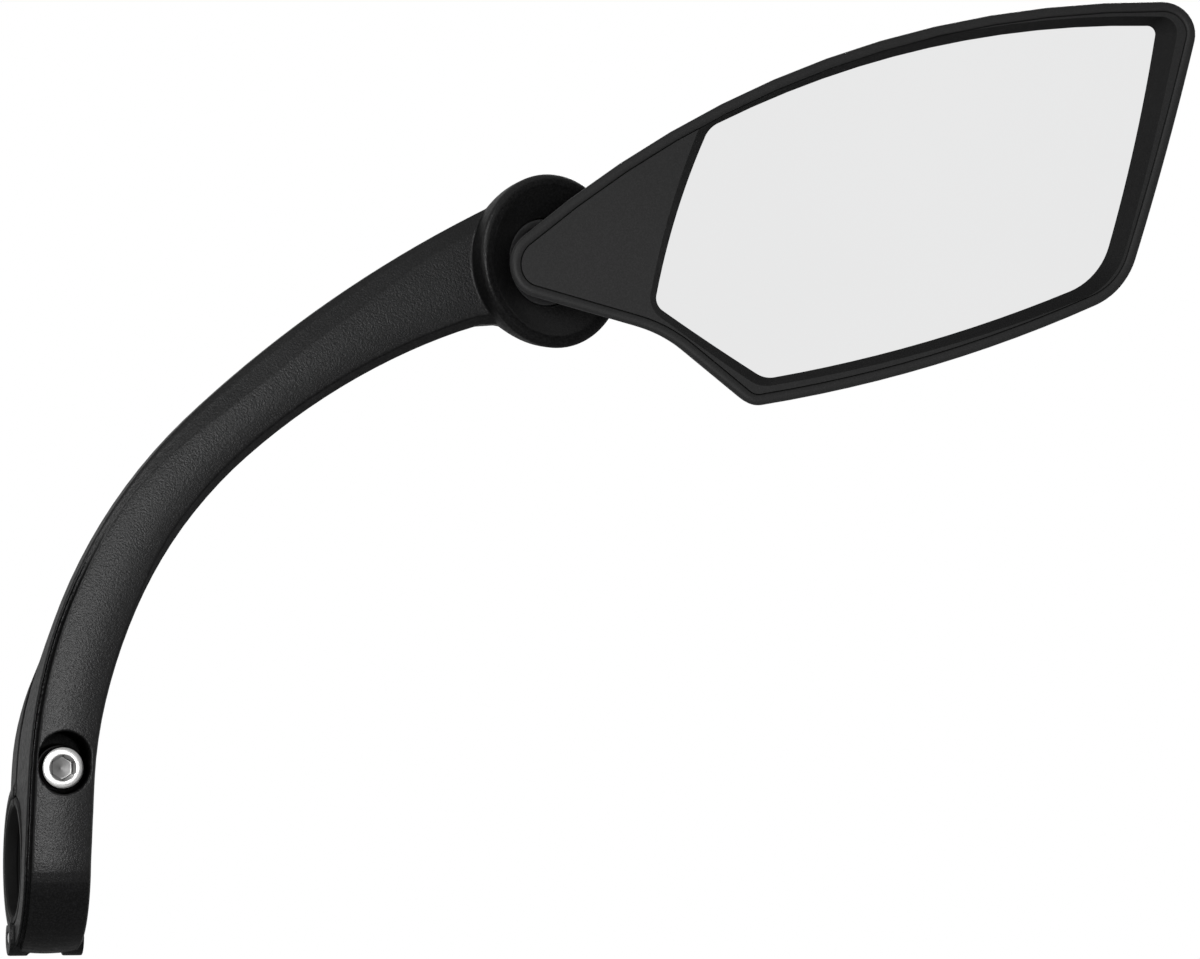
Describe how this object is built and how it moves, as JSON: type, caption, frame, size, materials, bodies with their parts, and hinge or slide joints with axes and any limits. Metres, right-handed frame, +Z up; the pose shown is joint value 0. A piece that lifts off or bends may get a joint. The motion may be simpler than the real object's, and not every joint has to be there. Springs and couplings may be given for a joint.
{
  "type": "handlebar mirror",
  "caption": "Handlebar mirror: a hinged screw clamp grips the bar, and a curved arm ends in a sprung ball joint that carries a long framed mirror head.",
  "frame": {"origin": "centre of the clamped handlebar, in the middle of the clamp's width", "axes": "+X outward along the bar towards the mirror head, +Y forward away from the rider, +Z up"},
  "size_m": [0.2413, 0.0524, 0.1968],
  "materials": {
    "arm_nylon": "fine grained matte black",
    "head_plastic": "fine grained matte black",
    "stud_plastic": "smooth black",
    "acetal": "smooth black",
    "rubber": "matte black",
    "steel": "bright",
    "brass": "plain",
    "mirror": "silvered"
  },
  "bodies": {
    "arm": {"arm": "arm_nylon", "hinge_pin": "steel", "clamp_washer": "steel", "front_liner": "rubber", "pressure_pad": "acetal", "pressure_spring": "steel", "rear_cap": "arm_nylon", "cap_seal": "rubber"},
    "screw": {"clamp_screw": "steel"},
    "jaw": {"clamp_jaw": "arm_nylon", "clamp_nut": "steel", "rear_liner": "rubber"},
    "friction ring": {"socket_liner": "acetal"},
    "ball": {"ball_stud": "stud_plastic", "stud_insert": "brass", "ball_screw": "steel", "ball_washer": "steel", "friction_washer": "acetal"},
    "head": {"wear_plate": "steel", "back_shell": "head_plastic", "front_bezel": "head_plastic", "mirror_glass": "mirror", "glass_pad": "rubber"}
  },
  "joints": [
    {"name": "screw_turn", "type": "hinge", "parent": "arm", "child": "screw", "pos_m": [0.0011, 0, 0.0185], "axis": [0, -1, 0], "range_deg": [0, 720]},
    {"name": "jaw_open", "type": "hinge", "parent": "arm", "child": "jaw", "pos_m": [0, 0, -0.01525], "axis": [-1, 0, 0], "range_deg": [0, 2.7]},
    {"name": "head_tilt", "type": "hinge", "parent": "arm", "child": "friction ring", "pos_m": [0.09851, -0.01, 0.12201], "axis": [0.9336, 0.3584, 0], "range_deg": [-15, 15]},
    {"name": "head_pan", "type": "hinge", "parent": "friction ring", "child": "ball", "pos_m": [0.09851, -0.01, 0.12201], "axis": [0, 0, 1], "range_deg": [-12, 25]},
    {"name": "head_roll", "type": "hinge", "parent": "ball", "child": "head", "pos_m": [0.09851, -0.01, 0.12201], "axis": [0, -1, 0], "range_deg": [-80, 80]}
  ],
  "couplings": [
    {"joint": "jaw_open", "follows": "screw_turn", "ratio": 0.00375}
  ]
}
